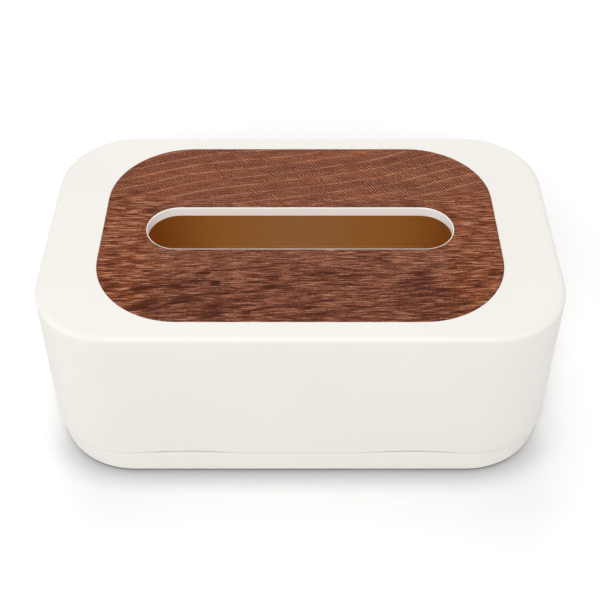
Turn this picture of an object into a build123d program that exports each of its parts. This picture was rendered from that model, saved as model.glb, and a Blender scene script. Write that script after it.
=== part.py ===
"""Tissue box: an ivory cover with a wood panel let into its top lifts off a shallow base tray on four feet.

Millimetres, +Z up. The origin is the middle of the box on the surface that it stands on.
+X runs along the dispensing slot and -Y is the front.
"""
from build123d import *
from math import radians, tan
import os

os.makedirs("parts", exist_ok=True)

# --- cover: one moulded shell, open below -------------------------------------------------
cover_length = 256.0  # across the top, measured to the side walls
cover_width = 154.2
cover_corner_radius = 38.7  # in plan, at the top
cover_height = 83.7  # from the seam to the top face
side_draft = 1.43  # degrees; the shell widens downwards
cover_wall = 2.8
top_edge_radius = 3.0
inner_top_radius = 1.6
lower_edge_radius = 0.3

# --- pocket, wood panel and the film that holds it ----------------------------------------
panel_length = 200.0
panel_width = 131.4
panel_corner_radius = 42.2
panel_thickness = 1.5
panel_edge_radius = 0.25
panel_clearance = 0.1  # between the panel and the plastic, all round
pocket_edge_radius = 0.3
film_thickness = 0.2
film_setback = 2.0  # the film stays this far inside the panel's edges
pan_thickness = 2.4  # plastic under the film
pan_margin = 3.0  # the pan stands this far outside the pocket

# --- dispensing slot ----------------------------------------------------------------------
slot_length = 155.4
slot_width = 31.0
collar_wall = 0.7
collar_depth = 5.3  # from the top face to the collar's lower lip
collar_edge_radius = 0.25  # at the lower lip
lip_wall = 0.45  # the collar is thinner where it stands in the panel's opening
lip_edge_radius = 0.35

# --- stiffening ribs under the top --------------------------------------------------------
rib_thickness = 1.4
rib_depth = 2.2
rib_overrun = 9.0  # the ribs run this far past each end of the slot
rib_to_slot = 14.0  # from the collar to the middle of the nearer rib
rib_pitch = 20.0
ribs_each_side = 2

# --- finger notches in the cover's lower edge, front and back ------------------------------
notch_spacing = 114.0
notch_length = 66.0
notch_height = 1.7

# --- base tray ----------------------------------------------------------------------------
band_height = 15.5  # the part of the base that shows below the seam
band_inset = 0.35  # the band's top edge lies this far inside the cover's lower edge
band_corner_radius = 43.5  # rounder than the cover's, so that the corners tuck in
band_draft = 3.0  # degrees; the band leans in downwards
band_shoulder_radius = 0.4
band_bottom_radius = 0.8
tray_draft = 1.0  # degrees, of the tray's inner wall
rim_height = 3.0  # the rim that stands up inside the cover
rim_wall = 1.8
rim_clearance = 0.3
rim_lead_in = 0.4
floor_thickness = 2.4
floor_corner_radius = 2.5
hollow_to_foot = 7.0  # shallow hollow under the tray, between the feet, so that only they bear
hollow_corner_radius = 12.0
hollow_depth = 0.7

# --- grip beads on the rim ----------------------------------------------------------------
bead_length = 24.0
bead_proud = 0.2  # less than rim_clearance, so the cover slides past
bead_height = 1.2

# --- feet ---------------------------------------------------------------------------------
foot_diameter = 14.0
foot_thickness = 2.0
foot_recess = 1.2
foot_clearance = 0.2
foot_edge_radius = 0.4
foot_inset = 30.0  # from the outline of the cover's top to the middle of each foot

# --- levels that follow from the sizes above ----------------------------------------------
tray_bottom_z = foot_thickness - foot_recess
seam_z = tray_bottom_z + band_height
top_z = seam_z + cover_height
pocket_floor_z = top_z - panel_thickness - film_thickness
pan_underside_z = pocket_floor_z - pan_thickness
border_underside_z = top_z - cover_wall
collar_bottom_z = top_z - collar_depth
floor_top_z = tray_bottom_z + floor_thickness
rim_top_z = seam_z + rim_height

# The feet follow the box's corners, and the hollow under the tray keeps clear of their recesses.
foot_x = cover_length / 2 - foot_inset
foot_y = cover_width / 2 - foot_inset
recess_radius = foot_diameter / 2 + foot_clearance
hollow_length = 2 * (foot_x - recess_radius - hollow_to_foot)
hollow_width = 2 * (foot_y - recess_radius - hollow_to_foot)

# The cover's outline at the seam is its top outline grown by the draft.
seam_growth = cover_height * tan(radians(side_draft))
seam_length = cover_length + 2 * seam_growth
seam_width = cover_width + 2 * seam_growth
seam_corner_radius = cover_corner_radius + seam_growth


def seam_outline(inset, z=seam_z):
    """The cover's outline at the seam, moved inwards by inset, as a face at height z."""
    return Pos(0, 0, z) * RectangleRounded(
        seam_length - 2 * inset, seam_width - 2 * inset, seam_corner_radius - inset
    )


def band_outline():
    """The band's outline at its top edge, just below the cover."""
    return Pos(0, 0, seam_z) * RectangleRounded(
        seam_length - 2 * band_inset, seam_width - 2 * band_inset, band_corner_radius
    )


def panel_outline(grow, z):
    """The wood panel's outline, moved outwards by grow, as a face at height z."""
    return Pos(0, 0, z) * RectangleRounded(
        panel_length + 2 * grow, panel_width + 2 * grow, panel_corner_radius + grow
    )


def slot_outline(grow, z):
    """The dispensing slot's outline, moved outwards by grow, as a face at height z."""
    width = slot_width + 2 * grow
    return Pos(0, 0, z) * SlotOverall(slot_length + 2 * grow, width)


def rim_inset(z):
    """How far the rim's outer face lies inside the cover's outline at the seam."""
    return cover_wall + rim_clearance + (z - seam_z) * tan(radians(side_draft))


def notch_profile():
    """A shallow wave of three arcs that meet tangentially, in the XZ plane, closed below."""
    half = notch_length / 2
    rise = TangentArc((-half, 0), (-half / 2, notch_height / 2), tangent=(1, 0))
    crown = TangentArc(rise @ 1, (half / 2, notch_height / 2), tangent=rise % 1)
    fall = TangentArc(crown @ 1, (half, 0), tangent=crown % 1)
    below = Polyline(
        fall @ 1, (half, -notch_height), (-half, -notch_height), rise @ 0
    )
    return Plane.XZ * make_face([rise, crown, fall, below])


def notch_cutters():
    """Four prisms that raise the lower edge of the front and back walls in shallow arches."""
    reach = seam_width / 2 + cover_wall
    thickness = 3 * cover_wall
    cutter = extrude(notch_profile(), amount=thickness / 2, both=True)
    return [
        Pos(side * notch_spacing / 2, end * (reach - thickness / 2), seam_z) * cutter
        for side in (-1, 1)
        for end in (-1, 1)
    ]


def top_ribs():
    """Ribs under the pan, along both sides of the slot."""
    length = slot_length + 2 * rib_overrun
    first = slot_width / 2 + collar_wall + rib_to_slot
    height = pan_thickness / 2 + rib_depth
    middle_z = pan_underside_z - rib_depth + height / 2
    return [
        Pos(0, end * (first + row * rib_pitch), middle_z)
        * Box(length, rib_thickness, height)
        for end in (-1, 1)
        for row in range(ribs_each_side)
    ]


def make_cover_shell():
    """The ivory shell: tapered walls, a sunken pan for the panel and a collar round the slot."""
    shell = extrude(seam_outline(0), amount=cover_height, taper=side_draft)
    top_edges = shell.faces().sort_by(Axis.Z)[-1].edges()
    shell = fillet(top_edges, top_edge_radius)

    hollow = extrude(
        seam_outline(cover_wall), amount=border_underside_z - seam_z, taper=side_draft
    )
    hollow = fillet(hollow.faces().sort_by(Axis.Z)[-1].edges(), inner_top_radius)
    shell -= hollow

    pan_height = top_z - pan_underside_z
    pan_outline = panel_outline(panel_clearance + pan_margin, pan_underside_z)
    pan_space = extrude(pan_outline, amount=border_underside_z - pan_underside_z)
    shell += pan_space
    shell -= extrude(panel_outline(panel_clearance, pocket_floor_z), amount=pan_height)
    pocket_edges = [edge for edge in shell.edges() if at_height(edge, top_z) and on_pocket_wall(edge)]
    shell = fillet(pocket_edges, pocket_edge_radius)

    collar = extrude(
        slot_outline(collar_wall, collar_bottom_z), amount=pocket_floor_z - collar_bottom_z
    )
    lip = extrude(slot_outline(lip_wall, pocket_floor_z), amount=top_z - pocket_floor_z)
    shell += collar + lip
    shell += top_ribs()

    bore = extrude(slot_outline(0, collar_bottom_z), amount=top_z - collar_bottom_z)
    shell -= bore
    mouth_edges = [edge for edge in shell.edges() if on_slot_wall(edge)]
    shell = fillet([edge for edge in mouth_edges if at_height(edge, top_z)], lip_edge_radius)
    lower_mouth_edges = [
        edge for edge in shell.edges() if on_slot_wall(edge) and at_height(edge, collar_bottom_z)
    ]
    shell = fillet(lower_mouth_edges, collar_edge_radius)

    shell -= notch_cutters()
    outer_lower_edges = [edge for edge in shell.edges() if on_outer_lower_edge(edge)]
    return fillet(outer_lower_edges, lower_edge_radius)


def at_height(edge, z):
    """Whether the whole edge lies at height z."""
    box = edge.bounding_box()
    return abs(box.min.Z - z) < 1e-4 and abs(box.max.Z - z) < 1e-4


def on_slot_wall(edge):
    """Whether the edge belongs to the slot's own outline, and not to the collar's outside."""
    box = edge.bounding_box()
    inside_x = max(-box.min.X, box.max.X) < slot_length / 2 + lip_wall / 2
    inside_y = max(-box.min.Y, box.max.Y) < slot_width / 2 + lip_wall / 2
    return inside_x and inside_y


def on_pocket_wall(edge):
    """Whether the edge belongs to the outline of the panel's pocket."""
    box = edge.bounding_box()
    inside_x = max(-box.min.X, box.max.X) < panel_length / 2 + pan_margin
    inside_y = max(-box.min.Y, box.max.Y) < panel_width / 2 + pan_margin
    return inside_x and inside_y


def on_outer_lower_edge(edge):
    """Whether the edge runs round the outside of the cover at or just above the seam."""
    middle = edge @ 0.5
    low = abs(edge.bounding_box().min.Z - seam_z) < notch_height and middle.Z < seam_z + 2 * notch_height
    return low and outside_distance(middle) > -cover_wall / 2


def outside_distance(point):
    """Signed distance in plan from a point to the cover's outline at the seam, negative inside."""
    dx = abs(point.X) - (seam_length / 2 - seam_corner_radius)
    dy = abs(point.Y) - (seam_width / 2 - seam_corner_radius)
    corner = (max(dx, 0) ** 2 + max(dy, 0) ** 2) ** 0.5
    return corner + min(max(dx, dy), 0) - seam_corner_radius


def make_wood_panel():
    """The veneered panel, with its opening for the collar."""
    bottom_z = pocket_floor_z + film_thickness
    panel = extrude(panel_outline(0, bottom_z), amount=panel_thickness)
    hole = slot_outline(lip_wall + panel_clearance, bottom_z)
    panel -= extrude(hole, amount=panel_thickness)
    return fillet(panel.faces().sort_by(Axis.Z)[-1].edges(), panel_edge_radius)


def make_adhesive_film():
    """The double-sided film between the pocket floor and the panel."""
    film = extrude(panel_outline(-film_setback, pocket_floor_z), amount=film_thickness)
    hole = slot_outline(collar_wall + panel_clearance + film_setback, pocket_floor_z)
    return film - extrude(hole, amount=film_thickness)


def foot_places():
    """The four feet: name and centre in plan."""
    return {
        f"foot_{depth}_{side}": (x * foot_x, y * foot_y)
        for depth, y in (("front", -1), ("back", 1))
        for side, x in (("left", -1), ("right", 1))
    }


def rim_beads():
    """Low beads on the rim behind each notch, which the cover grips as it comes down."""
    z = (seam_z + rim_top_z) / 2
    wall_y = seam_width / 2 - rim_inset(z)
    depth = rim_wall + bead_proud
    bead = Box(bead_length, depth, bead_height)
    bead = fillet(bead.edges().filter_by(Axis.Z), bead_proud / 2)
    middle_y = wall_y + bead_proud - depth / 2
    return [
        Pos(side * notch_spacing / 2, end * middle_y, z) * bead
        for side in (-1, 1)
        for end in (-1, 1)
    ]


def make_base_tray():
    """The base: a shallow tray with a shoulder for the cover and a rim that centres it."""
    band = extrude(band_outline(), amount=-band_height, taper=band_draft)
    band = fillet(band.faces().sort_by(Axis.Z)[0].edges(), band_bottom_radius)
    band = fillet(band.faces().sort_by(Axis.Z)[-1].edges(), band_shoulder_radius)

    rim = extrude(seam_outline(rim_inset(seam_z)), amount=rim_height, taper=side_draft)
    rim_top = rim.faces().sort_by(Axis.Z)[-1]
    tray = band + chamfer(rim_top.edges(), rim_lead_in) + rim_beads()

    inner = seam_outline(rim_inset(rim_top_z) + rim_wall, rim_top_z)
    hollow = extrude(inner, amount=floor_top_z - rim_top_z, taper=tray_draft)
    hollow = fillet(hollow.faces().sort_by(Axis.Z)[0].edges(), floor_corner_radius)
    tray -= hollow

    underside = RectangleRounded(hollow_length, hollow_width, hollow_corner_radius)
    tray -= extrude(Pos(0, 0, tray_bottom_z) * underside, amount=hollow_depth)
    recess = Cylinder(recess_radius, foot_recess, align=(Align.CENTER, Align.CENTER, Align.MIN))
    tray -= [Pos(x, y, tray_bottom_z) * recess for x, y in foot_places().values()]
    return tray


def make_foot(x, y):
    """One soft round pad, seated in its recess and standing proud of the tray."""
    pad = Cylinder(foot_diameter / 2, foot_thickness, align=(Align.CENTER, Align.CENTER, Align.MIN))
    pad = fillet(pad.faces().sort_by(Axis.Z)[0].edges(), foot_edge_radius)
    return Pos(x, y, 0) * pad


pieces = {
    "cover_shell": make_cover_shell(),
    "wood_panel": make_wood_panel(),
    "adhesive_film": make_adhesive_film(),
    "base_tray": make_base_tray(),
}
pieces.update({name: make_foot(x, y) for name, (x, y) in foot_places().items()})

for name, piece in pieces.items():
    export_step(piece, f"parts/{name}.step")
    size = piece.bounding_box().size
    print(f"{name}: {size.X:.1f} x {size.Y:.1f} x {size.Z:.1f} mm, {piece.volume / 1000:.1f} cm3")
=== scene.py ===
# %% [markdown]
# # A tissue box with a wood top, lit as in a catalogue picture
#
# The picture is read as an ivory plastic cover that lifts off a shallow base. A dark wood panel,
# taken here to be walnut, is let into its top, and the tissues come out through a long slot with a
# thin plastic collar.
#
# The measured solids come first, as a fixed frame. They already have the right shape, so this
# lesson spends its time on what a solid can't say: how each surface takes the light.

# %% Load the measured solids
from math import radians, tan

import bmesh
import bpy
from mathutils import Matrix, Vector

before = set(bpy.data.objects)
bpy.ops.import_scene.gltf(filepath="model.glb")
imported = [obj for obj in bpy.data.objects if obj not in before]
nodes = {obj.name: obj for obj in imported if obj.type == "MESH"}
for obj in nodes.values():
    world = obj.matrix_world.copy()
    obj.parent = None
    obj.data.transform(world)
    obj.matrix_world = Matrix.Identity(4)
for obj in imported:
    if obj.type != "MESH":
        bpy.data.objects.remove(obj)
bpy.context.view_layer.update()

print("solids:", ", ".join(sorted(nodes)))

# %% [markdown]
# ## The camera
#
# The picture was taken from in front and above, with a lens a little longer than normal, so the
# box tapers away gently. A camera can be turned until it looks right, but here the outlines of
# the cover, the panel and the slot were measured and fitted together, and the fit gave one place,
# one tilt and one lens. They are written in metres and degrees, as a photographer would note them.

# %% Place the camera
camera_place = Vector((-0.00013, -0.3983, 0.4506))
camera_tilt = 44.68  # degrees up from looking straight down
lens_mm = 62.47
sensor_mm = 36.0

camera_data = bpy.data.cameras.new("catalogue_camera")
camera_data.lens = lens_mm
camera_data.sensor_width = sensor_mm
camera_data.clip_start = 0.01
camera_data.clip_end = 50.0
camera = bpy.data.objects.new("catalogue_camera", camera_data)
camera.location = camera_place
camera.rotation_euler = (radians(camera_tilt), 0.0, 0.0)
bpy.context.scene.collection.objects.link(camera)
bpy.context.scene.camera = camera
bpy.context.scene.view_settings.view_transform = "Standard"

# %% [markdown]
# ## Writing materials as sums
#
# A material is a small program made of nodes. Linking them by hand takes many lines, so two short
# classes do it here. `Signal` wraps the output of a node, and adding or multiplying two of them
# adds the Math node that does it. `Finish` is one material, and its `node` method makes any other
# node: first its settings, then the values or links of its sockets.

# %% A socket that can be added and multiplied
class Signal:
    """The output of a node. Python's operators on it add Math nodes."""

    def __init__(self, finish, socket):
        self.finish = finish
        self.socket = socket

    def math(self, operation, *values):
        inputs = {index: value for index, value in enumerate(values)}
        return self.finish.node("ShaderNodeMath", {"operation": operation}, inputs)

    def __add__(self, other):
        return self.math("ADD", self, other)

    def __radd__(self, other):
        return self.math("ADD", other, self)

    def __sub__(self, other):
        return self.math("SUBTRACT", self, other)

    def __rsub__(self, other):
        return self.math("SUBTRACT", other, self)

    def __mul__(self, other):
        return self.math("MULTIPLY", self, other)

    def __rmul__(self, other):
        return self.math("MULTIPLY", other, self)

    def __truediv__(self, other):
        return self.math("DIVIDE", self, other)

    def __abs__(self):
        return self.math("ABSOLUTE", self)

    def __pow__(self, other):
        return self.math("POWER", self, other)

    def above(self, other):
        """The larger of the two."""
        return self.math("MAXIMUM", self, other)

    def sine(self):
        return self.math("SINE", self)

    def fraction(self):
        return self.math("FRACT", self)

    def whole(self):
        return self.math("FLOOR", self)

    def ramp(self, start, end):
        """0 up to start, 1 from end on, and a soft step between them. End may be the lower one."""
        inputs = {"Value": self, "From Min": start, "From Max": end}
        return self.finish.node("ShaderNodeMapRange", {"interpolation_type": "SMOOTHSTEP"}, inputs)


print("signals: add, subtract, multiply, divide, power, ramp")

# %% A material that makes its own nodes
class Finish:
    """One material, with a Principled shader and a method that makes any node."""

    def __init__(self, name):
        self.material = bpy.data.materials.new(name)
        self.material.use_nodes = True
        self.tree = self.material.node_tree
        self.shader = self.tree.nodes["Principled BSDF"]

    def node(self, kind, settings=None, inputs=None, output=0):
        made = self.tree.nodes.new(kind)
        for name, value in (settings or {}).items():
            if name == "stops":
                self.set_stops(made.color_ramp, value)
            else:
                setattr(made, name, value)
        for name, value in (inputs or {}).items():
            self.feed(made.inputs[name], value)
        return Signal(self, made.outputs[output])

    def feed(self, socket, value):
        """Links a signal to a socket, or sets the socket's own value."""
        if isinstance(value, Signal):
            self.tree.links.new(value.socket, socket)
        else:
            socket.default_value = value

    def set_stops(self, ramp, stops):
        while len(ramp.elements) < len(stops):
            ramp.elements.new(1.0)
        for element, (place, colour) in zip(ramp.elements, stops):
            element.position = place
            element.color = (*colour, 1.0)

    def set(self, **values):
        """Sets the shader's sockets: Base_Color=..., Roughness=... and so on."""
        for name, value in values.items():
            self.feed(self.shader.inputs[name.replace("_", " ")], value)

    def millimetres(self):
        """The place on the object, in millimetres: the vector, x, y and z."""
        place = self.node("ShaderNodeTexCoord", output="Object")
        scaled = self.node("ShaderNodeVectorMath", {"operation": "SCALE"}, {0: place, "Scale": 1000.0})
        split = [
            self.node("ShaderNodeSeparateXYZ", inputs={0: scaled}, output=axis) for axis in range(3)
        ]
        return scaled, *split

    def vector(self, x, y, z):
        return self.node("ShaderNodeCombineXYZ", inputs={0: x, 1: y, 2: z})

    def noise(self, place, scale=1.0, detail=2.0, roughness=0.5):
        """Fractal noise from 0 to 1, with its middle at 0.5."""
        inputs = {
            "Vector": place,
            "Scale": scale,
            "Detail": detail,
            "Roughness": roughness,
        }
        return self.node("ShaderNodeTexNoise", inputs=inputs)

    def blend(self, factor, first, second):
        """Mixes two colours."""
        settings = {"data_type": "RGBA"}
        inputs = {0: factor, 6: as_colour(first), 7: as_colour(second)}
        return self.node("ShaderNodeMix", settings, inputs, output=2)

    def bump(self, height, depth_mm):
        inputs = {"Height": height, "Distance": depth_mm / 1000, "Strength": 1.0}
        return self.node("ShaderNodeBump", inputs=inputs)

    def put_on(self, *names):
        for name in names:
            slots = nodes[name].data.materials
            slots.clear()
            slots.append(self.material)


def as_colour(value):
    """A colour socket takes four numbers, and a signal goes through as it is."""
    return value if isinstance(value, Signal) else (*value, 1.0)


print("finishes are built with Finish(name)")

# %% [markdown]
# ## Ivory plastic
#
# The cover and the base are moulded in a warm white. Close up, such plastic is never perfectly
# even: the mould leaves a fine satin texture, and the colour drifts by a percent or so. Both come
# from noise that is fixed to the object. The inside is honey coloured in the picture, darker and
# more orange the less light gets there, because each bounce off a yellow wall takes out more blue.
# So the inner faces get a straw colour, and most of the dark amber comes from the light by itself.
# The rest is painted light and shade: the honey is painted paler in the middle of the length,
# where light falls in through the slot, and deeper towards the ends.
# A faint warm glow is added on the inside and on the collar: painted light, an emission that
# stands in for light that thin pale walls may let through. The picture can't tell how much, so its
# strength is what brought the render close to the picture, and nothing that was measured on such a
# wall.
#
# A mask finds the inner faces from where they are. The distance from the box's core rectangle to
# a point tells on which side of the middle of the wall it lies.

# %% Sizes that the masks need, in millimetres
seam_z = 16.3
seam_half_length = 130.09
seam_half_width = 79.18
seam_radius = 40.79
cover_slope = tan(radians(1.43))  # the walls lean in by this much for each millimetre up
cover_wall = 2.8
inner_top_z = 97.25
slot_half_length = 77.7
slot_half_width = 15.5
collar_wall = 0.7
tray_rim_outer = 3.4  # from the seam outline to just inside the rim's outer face
tray_floor_z = 3.2
print("seam outline", 2 * seam_half_length, "x", 2 * seam_half_width)


# %% Distances in plan
def core_distance(x, y):
    """How far a point lies, in plan, from the rectangle that the box's corners are rounded about."""
    past_x = (abs(x) - (seam_half_length - seam_radius)).above(0.0)
    past_y = (abs(y) - (seam_half_width - seam_radius)).above(0.0)
    return (past_x * past_x + past_y * past_y) ** 0.5


def slot_distance(x, y):
    """How far a point lies, in plan, outside the slot's edge. Negative in the slot."""
    past_x = (abs(x) - (slot_half_length - slot_half_width)).above(0.0)
    return (past_x * past_x + y * y) ** 0.5 - slot_half_width


print("two distances, from the box's core and from the slot")

# %% Painted shade in the joints
# Light hardly gets into a joint under a millimetre wide. Ambient Occlusion with a short reach finds
# such places wherever they run, and the colour is darkened there as painted shade. The seam
# between the cover and the base is finer still, so a line of painted shade is drawn along the
# cover's lower edge, which rises in two shallow notches, front and back.
joint_reach = 0.0016
joint_open = 0.85  # with this much of the sky in sight there is no painted shade yet
joint_closed = 0.30
joint_painted_shade_strength = 0.85
joint_painted_shade_colour = (0.33, 0.31, 0.28)
notch_middle = 57.0
notch_half_length = 33.0
notch_height = 1.7
long_side_from = 60.0  # the notches are in the long sides, past this far from the middle
long_side_to = 66.0
# painted shade: a dark line drawn on the cover just above the seam
seam_line_height = 0.55
seam_line_full = 0.2  # below this height the line is at its darkest
seam_line_painted_shade = 0.75


def seam_painted_shade(x, y, z):
    """1 along the cover's lower edge, where a line of shade is painted, 0 from half a millimetre up.
    The honey hides it inside.
    """
    along = abs(abs(x) - notch_middle).ramp(notch_half_length, 0.0)
    on_long_side = abs(y).ramp(long_side_from, long_side_to)
    above_edge = z - (seam_z + notch_height * along * on_long_side)
    return above_edge.ramp(seam_line_height, seam_line_full)


print("joints narrower than", 1000 * joint_reach, "mm are shaded")

# %% The ivory and the honey colour
cover_ivory = ((0.890, 0.860, 0.812), (0.872, 0.841, 0.790))
base_ivory_painted_paler = ((0.935, 0.903, 0.855), (0.918, 0.884, 0.832))  # painted light: a shade paler than the cover, for the light the band lacks near the floor
collar_painted_light_ivory = (0.975, 0.955, 0.915)  # painted light: paler and warmer than the cover, as if lit off the wood
honey = (0.88, 0.54, 0.22)
# painted shade: the honey is deeper towards the ends, where less light gets in
honey_painted_shade = (0.85, 0.45, 0.11)
honey_core = 4.0  # up to here it is painted at its palest
honey_reach = 58.0  # the painted paler honey fades out this far from the middle of the length
honey_wander = 30.0  # a cloud moves that edge by up to half of this either way
painted_glow = (0.006, 0.0036, 0.0006)  # painted light: a faint glow inside, standing in for light through the thin walls
painted_glow_ends = (0.015, 0.0058, 0.0004)  # more of this painted light near the ends, which get little light through the slot
no_glow = (0.0, 0.0, 0.0)
collar_painted_glow = (0.045, 0.040, 0.030)  # painted light on the collar, which is thinner still, as if light came through it


def ivory_finish(name, shades, inner_mask, collar_mask=None, seam_painted_shade_mask=None):
    """Satin ivory plastic, with the honey colour where inner_mask is 1."""
    finish = Finish(name)
    place, x, y, z = finish.millimetres()
    cloud = finish.noise(place, scale=0.02, detail=3.0)
    outside = finish.blend(cloud.ramp(0.3, 0.7), *shades)
    outer_painted_glow = no_glow
    if collar_mask:
        collar = collar_mask(x, y, z)
        outside = finish.blend(collar, outside, collar_painted_light_ivory)
        outer_painted_glow = finish.blend(collar, no_glow, collar_painted_glow)
    # painted light: the honey is paler in the middle of the length, where light falls through the slot
    painted_paler_middle = (abs(x) + honey_wander * (cloud - 0.5)).ramp(honey_reach, honey_core)
    inside = finish.blend(painted_paler_middle, honey_painted_shade, honey)
    inner = inner_mask(x, y, z)
    joint = finish.node(
        "ShaderNodeAmbientOcclusion", {"samples": 8}, {"Distance": joint_reach}, output="AO"
    )
    # painted shade: narrow joints and the seam line darken the colour
    painted_shade = joint.ramp(joint_open, joint_closed) * joint_painted_shade_strength
    if seam_painted_shade_mask:
        painted_shade = painted_shade.above(seam_line_painted_shade * seam_painted_shade_mask(x, y, z))
    outside = finish.blend(painted_shade, outside, joint_painted_shade_colour)
    satin = finish.noise(place, scale=1.6, detail=2.0, roughness=0.6)
    finish.set(
        Base_Color=finish.blend(inner, outside, inside),
        # the emission is painted light: the faint glow inside and on the collar
        Emission_Color=finish.blend(inner, outer_painted_glow, finish.blend(painted_paler_middle, painted_glow_ends, painted_glow)),
        Emission_Strength=1.0,
        Roughness=0.40 + 0.10 * satin,
        IOR=1.46,
        Normal=finish.bump(satin, depth_mm=0.012),
    )
    return finish


def cover_inside(x, y, z):
    """1 on the cover's inner faces: inside its walls, below its top and outside the collar."""
    middle = seam_radius - cover_wall / 2 - (z - seam_z) * cover_slope
    within = core_distance(x, y) - middle
    below_top = z.ramp(inner_top_z + 0.1, inner_top_z)
    off_collar = slot_distance(x, y).ramp(collar_wall - 0.2, collar_wall)
    return within.ramp(0.3, -0.3) * below_top * off_collar


def on_collar(x, y, z):
    """1 on the thin collar that lines the slot."""
    return slot_distance(x, y).ramp(collar_wall, collar_wall - 0.3)


def tray_inside(x, y, z):
    """1 on the tray's floor, and on the inner face and the top of its rim."""
    within = core_distance(x, y) - (seam_radius - tray_rim_outer)
    return within.ramp(0.15, -0.15) * z.ramp(tray_floor_z - 0.2, tray_floor_z)


cover_finish = ivory_finish("ivory_cover", cover_ivory, cover_inside, on_collar, seam_painted_shade)
cover_finish.put_on("cover_shell")
ivory_finish("ivory_tray", base_ivory_painted_paler, tray_inside).put_on("base_tray")
print("ivory outside, honey inside")

# %% [markdown]
# ## Walnut
#
# The panel is the part that people look at. Its veneer changes character across the top. Behind
# the slot, fine pale growth lines sweep up to the right, with slanted flecks hatched across them.
# At the two ends the grain is straight and strongly streaked. In front it is darker, with long
# thin lines, slanted streaks and a few small knots. A photograph could be laid on the panel, but a
# pattern built from noise stays sharp at any distance and belongs to no one, so each kind of grain
# gets its own few nodes, and soft masks join them.

# %% Colours of the walnut, dark to light
brown_stops = [
    (0.02, (0.060, 0.015, 0.007)),
    (0.28, (0.122, 0.034, 0.017)),
    (0.52, (0.218, 0.070, 0.035)),
    (0.74, (0.326, 0.127, 0.072)),
    (1.00, (0.480, 0.243, 0.155)),
]
red_stops = [
    (0.02, (0.075, 0.016, 0.006)),
    (0.28, (0.145, 0.036, 0.014)),
    (0.52, (0.242, 0.066, 0.024)),
    (0.74, (0.360, 0.120, 0.053)),
    (1.00, (0.520, 0.255, 0.150)),
]
print("walnut: a brown and a redder range,", len(brown_stops), "colours each")


# %% Streaks that run along the grain
def streaks(finish, along, across, length_mm, pitch_mm, detail=3.0, roughness=0.55, seed=0.0):
    """Long thin streaks: noise that is stretched along the grain."""
    place = finish.vector(along / length_mm, across / pitch_mm, seed)
    return finish.noise(place, detail=detail, roughness=roughness)


walnut = Finish("walnut_veneer")
_, x, y, _ = walnut.millimetres()

# Slow bends move the grain up and down, so that no line is straight.
slow = walnut.noise(walnut.vector(x / 70.0, y / 40.0, 3.1), detail=1.0) - 0.5
quick = walnut.noise(walnut.vector(x / 16.0, y / 9.0, 7.7), detail=2.0) - 0.5
print("the grain runs along x, with slow and quick bends")

# %% Growth lines behind the slot
ring_slope = 0.24
ring_pitch = 7.4
ring_wave = (x * 0.045 + 0.6).sine() * 2.2
ring_y = y - ring_slope * x + ring_wave + 9.0 * slow + 1.0 * quick
ring = ring_y / ring_pitch
ring_index = ring.whole()
ring_phase = ring.fraction()
ring_core = abs(ring_phase - 0.5).ramp(0.095, 0.015)
ring_fade = walnut.noise(walnut.vector(x / 14.0, ring_index * 3.7, 1.0), detail=4.0, roughness=0.65)
growth_line = ring_core * ring_fade.ramp(0.26, 0.62)
print("growth lines every", ring_pitch, "mm")

# %% Flecks between the growth lines
fleck_pitch = 1.6
fleck_lean = 0.55  # how far a fleck leans along x for each millimetre across
fleck_shift = walnut.noise(walnut.vector(ring_index * 5.3, 0.5, 2.0), detail=0.0) * 9.0
fleck_bend = walnut.noise(walnut.vector(x / 5.0, ring_index * 2.9, 5.0), detail=1.0) * 3.4
fleck_x = x + fleck_lean * y + fleck_shift + fleck_bend
full_turn = 6.2832  # in radians
fleck_wave = (fleck_x * (full_turn / fleck_pitch)).sine()
fleck_size = walnut.noise(walnut.vector(fleck_x / 2.2, ring_index * 7.1, 8.0), detail=1.0)
fleck_cloud = walnut.noise(walnut.vector(x / 11.0, ring_y / 4.5, 14.0), detail=2.0)
fleck_patch = (fleck_cloud + 0.0011 * x).ramp(0.39, 0.55)  # more of them towards the right
fleck = fleck_wave * fleck_patch * fleck_size.ramp(0.26, 0.56)
print("flecks every", fleck_pitch, "mm, leaning", fleck_lean, "mm for each mm across")

# %% Straight, wavy, broad and slanted streaks
bend = y + 5.0 * slow + 1.0 * quick
straight = streaks(walnut, x, bend, 15.0, 1.5, detail=3.0, roughness=0.65, seed=4.0) - 0.5
fine = streaks(walnut, x, bend, 9.0, 0.60, detail=1.0, roughness=0.5, seed=15.0) - 0.5
wavy_y = y - 0.10 * x + 12.0 * slow + 2.0 * quick
wavy = streaks(walnut, x, wavy_y, 13.0, 1.9, detail=4.0, roughness=0.7, seed=9.0) - 0.5
broad = streaks(walnut, x, wavy_y, 40.0, 9.0, detail=2.0, seed=21.0) - 0.5
slant_y = y - 0.27 * x + 10.0 * slow + 1.5 * quick
slant = streaks(walnut, x, slant_y, 34.0, 3.6, detail=2.0, roughness=0.6, seed=27.0) - 0.5
print("streaks: straight, fine, wavy, broad and slanted")

# %% Long dark lines
# Where the saw cuts the rings at a low angle they draw long nested ovals. The contour lines of a
# slow, stretched noise do the same: its height is cut into steps, and each step's middle is a line.
contour_y = y - 0.12 * x + 9.0 * slow + 2.0 * quick
contour = streaks(walnut, x, contour_y, 62.0, 9.0, detail=2.0, roughness=0.45, seed=51.0)
contour_steps = 7.0
contour_line = abs((contour * contour_steps).fraction() - 0.5).ramp(0.30, 0.05)
contour_fade = streaks(walnut, x, contour_y, 16.0, 2.5, detail=2.0, seed=57.0).ramp(0.34, 0.60)
dark_line = contour_line * contour_fade
print("dark lines at", contour_steps, "heights")

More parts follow.
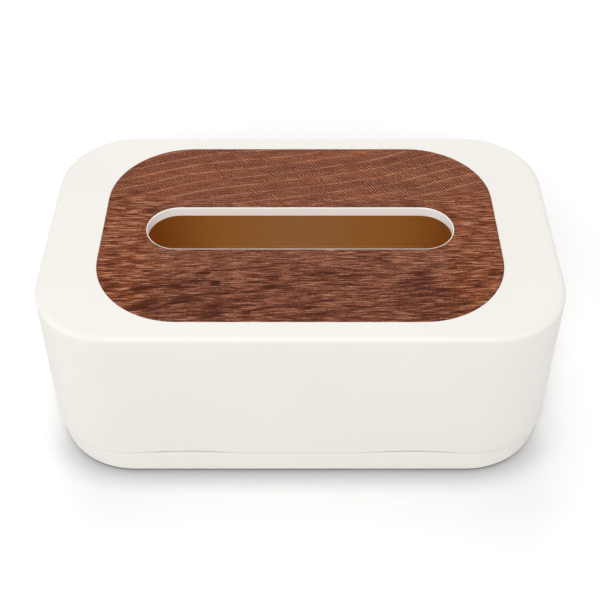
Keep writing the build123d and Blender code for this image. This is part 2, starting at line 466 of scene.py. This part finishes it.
# %% Grit, pores and gleam
# Grit is short: its grains are about twice as long as they are wide.
grit_length = 1.3
grit_width = 0.60
grit_place = walnut.vector(x / grit_length, y / grit_width, 31.0)
grit = walnut.noise(grit_place, detail=1.0, roughness=0.6) - 0.5

# Pores are cut vessels: thin dark dashes with sharp edges. Between them, thin lines are painted
# lighter as sheen, and they are a little less rough too.
pore = streaks(walnut, x, bend, 16.0, 0.70, detail=2.0, seed=33.0).ramp(0.56, 0.64)
painted_gleam = streaks(walnut, x, bend, 10.0, 0.62, detail=2.0, seed=41.0).ramp(0.57, 0.66)
print("grit", grit_length, "by", grit_width, "mm, pores and gleam")

# %% A few small knots in front, where the grain closes round a twig, and dark streaks by them
knots = [  # x, y, half length, half width in millimetres, slope, and how dark
    (-46.8, -33.1, 3.0, 1.1, 0.00, 0.95),
    (-41.0, -40.1, 2.6, 1.6, 0.00, 1.10),
    (-13.6, -42.1, 5.0, 0.9, 0.10, 0.70),
    (-73.0, -43.4, 19.0, 1.3, 0.17, 0.50),
    (-52.0, -51.6, 7.0, 2.2, 0.10, 0.40),
    (-40.0, -55.5, 15.0, 4.0, 0.06, 0.16),
    (-75.0, -55.4, 9.0, 2.2, 0.30, 0.38),
    (-12.0, -56.0, 12.0, 1.2, 0.22, 0.42),
]
knot_wobble = 1.6  # how much the quick bends push a knot's outline in and out
knot_rim = 1.4
knot_heart = 0.3
knot_shade = 0.0
for knot_x, knot_y, half_length, half_width, slope, darkness in knots:
    along = (x - knot_x) / half_length
    across = (y - knot_y - slope * (x - knot_x)) / half_width
    knot_distance = (along * along + across * across) ** 0.5 + knot_wobble * quick
    knot_shade = knot_shade + knot_distance.ramp(knot_rim, knot_heart) * darkness
print("knots and streaks:", len(knots))

# %% Where each kind of grain shows
# Four soft masks: behind the slot, in front of it, the lowest part of the front, and the two ends.
back_mask = (y - 0.0012 * x * x + 5.0 * slow).ramp(13.0, 24.0)
front_mask = (y + 6.0 * slow).ramp(-16.0, -34.0)
low_mask = (y + 8.0 * slow + 4.0 * quick).ramp(-30.0, -46.0)
end_mask = (abs(x) + 6.0 * quick).ramp(58.0, 84.0) * (1.0 - back_mask)
print("grain masks: back, front, low and ends")

# %% [markdown]
# The parts of the grain are now added up to one tone, from dark to light. How much each of them
# weighs in each part of the panel was set by comparing renders with the picture.

# %% Add the grain up to one tone from dark to light
middle_tone = 0.50
straight_part = straight * (0.12 + 1.4 * end_mask) * (1.0 - 0.50 * back_mask)
fine_part = fine * (2.0 + 0.6 * end_mask) * (1.0 - 0.62 * back_mask)
vessels = 0.18 * painted_gleam - 0.36 * pore
vessel_part = vessels * (1.0 - 0.70 * back_mask) * (1.0 + 0.70 * end_mask)
grit_part = grit * (1.0 - 0.15 * back_mask)
broad_part = 0.36 * broad
front_part = front_mask * (0.08 * wavy - 0.34 * dark_line + 0.01)
low_part = low_mask * (0.65 * slant - 0.04)
back_part = back_mask * (0.40 * growth_line + 0.36 * fleck - 0.02)
tone = middle_tone + straight_part + fine_part + vessel_part + grit_part + broad_part
tone = tone + front_part + low_part + back_part - knot_shade
print("nodes for the tone:", len(walnut.tree.nodes))

# %% Give the tone its two ranges of colour
walnut_roughness = 0.68  # where it is darkest
roughness_drop = 0.14
warmth = (0.9 * end_mask + 1.6 * broad + 0.35 * back_mask).ramp(0.0, 0.9)
grain_brown = walnut.node("ShaderNodeValToRGB", {"stops": brown_stops}, {0: tone})
grain_red = walnut.node("ShaderNodeValToRGB", {"stops": red_stops}, {0: tone})
walnut.set(
    Base_Color=walnut.blend(warmth, grain_brown, grain_red),
    Roughness=walnut_roughness - roughness_drop * tone,
    IOR=1.45,
    Specular_IOR_Level=0.08,
    Normal=walnut.bump(tone, depth_mm=0.10),
)
walnut.put_on("wood_panel")
print("walnut nodes:", len(walnut.tree.nodes))

# %% [markdown]
# ## The film and the feet
#
# Neither shows in the picture, so both are guesses, but both show when the box is turned over and
# taken apart.
# The film is given the look of a matt sheet with fibres in it, and the feet that of soft grey pads
# with a slightly rough skin.

# %% Film and feet
film_shades = ((0.76, 0.75, 0.71), (0.68, 0.67, 0.62))
film = Finish("mounting_film")
place = film.millimetres()[0]
fibres = film.noise(place, scale=0.8, detail=4.0)
film.set(
    Base_Color=film.blend(fibres.ramp(0.3, 0.7), *film_shades),
    Roughness=0.65 + 0.1 * fibres,
    Normal=film.bump(fibres, depth_mm=0.02),
)
film.put_on("adhesive_film")

pad_shades = ((0.62, 0.61, 0.58), (0.54, 0.53, 0.50))
pad = Finish("foot_pad")
place = pad.millimetres()[0]
skin = pad.noise(place, scale=1.8, detail=3.0)
pad.set(
    Base_Color=pad.blend(skin.ramp(0.3, 0.7), *pad_shades),
    Roughness=0.80 + 0.1 * skin,
    Normal=pad.bump(skin, depth_mm=0.06),
)
feet = [name for name in nodes if name.startswith("foot_")]
pad.put_on(*feet)
print("feet:", len(feet))

# %% [markdown]
# ## The floor
#
# A catalogue picture stands on paper that is lit until it is white. Here the floor is pale, and
# for the camera it gets darker only where the box keeps the light away: close under its edge.
# The lamps cast part of that shadow, and the rest is painted shadow: the Ambient Occlusion node
# measures how near the box is, and the paper's colour is darkened there, more in front than at
# the sides, so the shadow stays soft and tight at once. Away from the box, where the lamps' light
# falls off, the paper is given light of its own. That is little near the box, and more than half
# of full white far from it.

# %% Make the floor
floor_half = 6.0
floor_gap = 0.0002  # the feet's soles would flicker if they lay exactly in the floor
floor_mesh = bpy.data.meshes.new("paper_floor")
shape = bmesh.new()
bmesh.ops.create_grid(shape, x_segments=1, y_segments=1, size=floor_half)
bmesh.ops.translate(shape, vec=Vector((0.0, 0.0, -floor_gap)), verts=shape.verts)
shape.to_mesh(floor_mesh)
shape.free()
floor = bpy.data.objects.new("paper_floor", floor_mesh)
bpy.context.scene.collection.objects.link(floor)
print("floor", 2 * floor_half, "m wide")

# %% Paper that shows white, with the box's shadow
paper = Finish("white_paper")
rays = paper.node("ShaderNodeLightPath", output="Is Camera Ray")
glossy = paper.node("ShaderNodeLightPath", output="Is Glossy Ray")
through = paper.node("ShaderNodeLightPath", output="Is Transmission Ray")
shown = rays.above(glossy).above(through)
contact_reach = 0.022
open_sky = paper.node(
    "ShaderNodeAmbientOcclusion", {"samples": 16}, {"Distance": contact_reach}, output="AO"
)
_, x, y, _ = paper.millimetres()
in_front = y.ramp(-45.0, -80.0)  # the painted shadow falls forward, so it is weaker at the sides
side_shadow = 0.35
front_shadow = 0.65  # comes on top of it in front
# painted shadow: the paper's colour darkens where the box is near
painted_contact_shadow = open_sky.ramp(1.0, 0.15) * (side_shadow + front_shadow * in_front)
paper_white = (1.0, 1.0, 1.0)
paper_shadow = (0.22, 0.22, 0.23)
paper_with_painted_shadow = paper.blend(painted_contact_shadow, paper_white, paper_shadow)
near_light = 0.03
far_light = 0.55  # comes on top of it far from the box
far_from = 180.0  # millimetres from the middle
far_to = 520.0
far = ((x * x + y * y) ** 0.5).ramp(far_from, far_to)
paper_light = paper.blend(near_light + far_light * far, (0.0, 0.0, 0.0), paper_with_painted_shadow)
paper_seen = paper.node("ShaderNodeBsdfDiffuse", inputs={"Color": paper_with_painted_shadow})
paper_glow = paper.node("ShaderNodeEmission", inputs={"Color": paper_light, "Strength": 1.0})
paper_shown = paper.node("ShaderNodeAddShader", inputs={0: paper_seen, 1: paper_glow})
bounce_grey = (0.64, 0.64, 0.64)  # what the lamps' light meets, so that less of it comes back up
paper_bounce = paper.node("ShaderNodeBsdfDiffuse", inputs={"Color": as_colour(bounce_grey)})
paper_mix = paper.node("ShaderNodeMixShader", inputs={0: shown, 1: paper_bounce, 2: paper_shown})
paper_output = paper.tree.nodes["Material Output"]
paper.feed(paper_output.inputs["Surface"], paper_mix)
floor_mesh.materials.append(paper.material)
print("paper: its own light goes from", near_light, "to", round(near_light + far_light, 2))

# %% [markdown]
# ## The light
#
# The studio is a white room. The camera sees the world as full white, but it lights the box with
# only about four tenths of that. The strongest of five large soft panels is behind and above the
# camera: it lights the front, and it reaches through the slot to the back wall inside. One high up
# behind puts the soft shadow in front of the box. Two weak, low ones round off the corners, and the
# left is the stronger, as in the picture. A third low one, behind the box, is out of the picture's
# sight and keeps the back from looking grey when it is turned round.

# %% The white room
world = bpy.data.worlds.new("white_room")
world.use_nodes = True
bpy.context.scene.world = world
tree = world.node_tree
background = tree.nodes["Background"]
room_level = 0.42
light_path = tree.nodes.new("ShaderNodeLightPath")
seen = light_path.outputs["Is Camera Ray"]
for kind_of_ray in ("Is Glossy Ray", "Is Transmission Ray"):
    either = tree.nodes.new("ShaderNodeMath")
    either.operation = "MAXIMUM"
    tree.links.new(seen, either.inputs[0])
    tree.links.new(light_path.outputs[kind_of_ray], either.inputs[1])
    seen = either.outputs[0]
level = tree.nodes.new("ShaderNodeMapRange")
level.inputs["To Min"].default_value = room_level
level.inputs["To Max"].default_value = 1.0
tree.links.new(seen, level.inputs["Value"])
background.inputs["Color"].default_value = (1.0, 1.0, 1.0, 1.0)
tree.links.new(level.outputs["Result"], background.inputs["Strength"])
print("room: 1 to the camera,", room_level, "to everything else")


# %% Soft panels
def soft_panel(name, place, size, watts):
    """A square area light that looks at the box."""
    data = bpy.data.lights.new(name, "AREA")
    data.shape = "SQUARE"
    data.size = size
    data.energy = watts
    panel = bpy.data.objects.new(name, data)
    panel.location = place
    aim = Vector((0.0, 0.0, 0.05)) - panel.location
    panel.rotation_euler = aim.to_track_quat("-Z", "Y").to_euler()
    bpy.context.scene.collection.objects.link(panel)


panel_size = 0.8
panels = [  # name, place and watts
    ("rear_panel", (-0.10, 0.70, 1.56), 6.3),
    ("back_panel", (0.00, 1.60, 0.45), 3.6),
    ("front_panel", (-0.08, -1.25, 1.22), 13.6),
    ("left_panel", (-1.60, -0.50, 0.40), 5.2),
    ("right_panel", (1.60, -0.50, 0.40), 3.4),
]
for panel_name, panel_place, watts in panels:
    soft_panel(panel_name, Vector(panel_place), panel_size, watts)
print("panels:", ", ".join(panel_name for panel_name, _, _ in panels))
